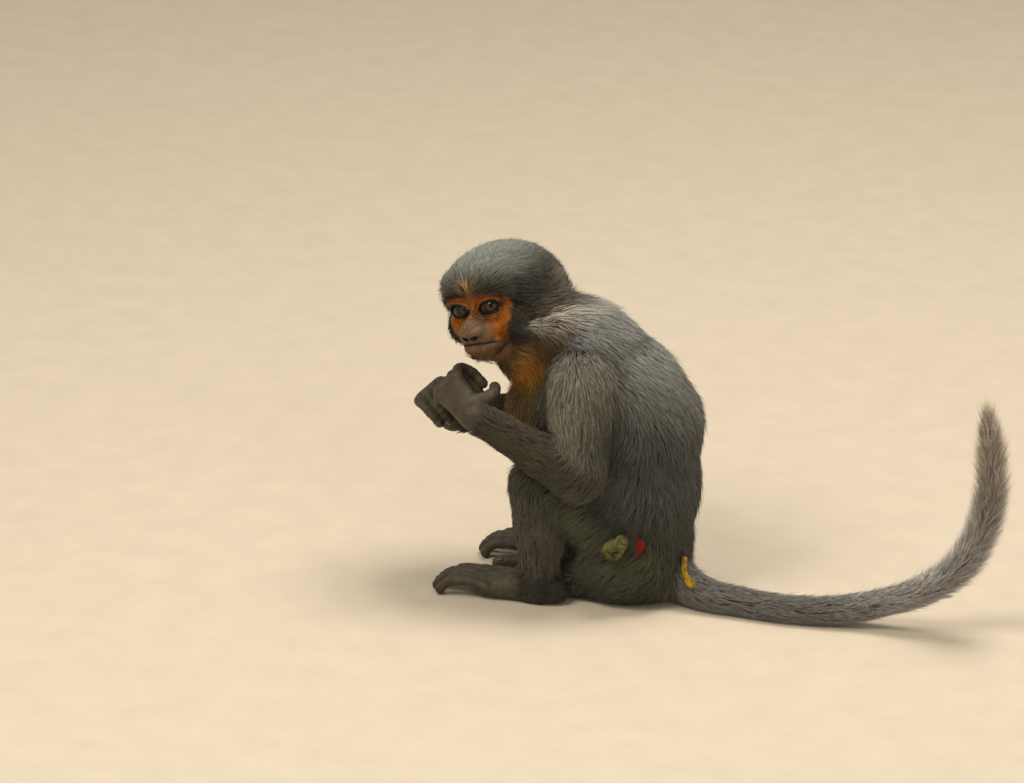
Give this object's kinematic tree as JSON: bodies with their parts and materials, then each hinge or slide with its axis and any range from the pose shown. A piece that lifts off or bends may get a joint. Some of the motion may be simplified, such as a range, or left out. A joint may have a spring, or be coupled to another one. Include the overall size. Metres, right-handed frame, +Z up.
{
  "type": "sitting young mangabey monkey model",
  "caption": "Life-size still model of a young grey mangabey monkey sitting on its haunches, head turned to its left, both hands raised and closed, tail curved up behind.",
  "frame": {"origin": "middle of the seat, on the floor", "axes": "+Z up, -X the way the body faces, -Y the animal's own left, towards which it turns its head; the tail runs out along +X"},
  "size_m": [0.4693, 0.1464, 0.2677],
  "materials": {
    "coat": "fine slate-grey hair, paler at the tips, in thin locks that lie along the body",
    "bare_skin": "dark greyish-brown bare skin, matt, creased over the joints",
    "eye": "wet and glossy, dark amber-brown iris round a black pupil",
    "green_cloth": "worn dark green woven cloth",
    "red_cloth": "frayed red cloth",
    "yellow_cord": "smooth mustard-yellow cord"
  },
  "bodies": {
    "root": {"head": "coat", "neck": "coat", "chest": "coat", "belly": "coat", "hips": "coat", "thigh_left": "coat", "thigh_right": "coat", "shank_left": "coat", "shank_right": "coat", "upper_arm_left": "coat", "upper_arm_right": "coat", "forearm_left": "coat", "forearm_right": "coat", "tail_base": "coat", "tail_fore": "coat", "tail_mid": "coat", "tail_end": "coat", "ear_left": "bare_skin", "ear_right": "bare_skin", "hand_left": "bare_skin", "hand_right": "bare_skin", "thumb_left": "bare_skin", "thumb_right": "bare_skin", "foot_left": "bare_skin", "foot_right": "bare_skin", "big_toe_left": "bare_skin", "big_toe_right": "bare_skin", "eye_left": "eye", "eye_right": "eye", "cloth_knot": "green_cloth", "red_scrap": "red_cloth", "yellow_end": "yellow_cord"}
  },
  "joints": []
}
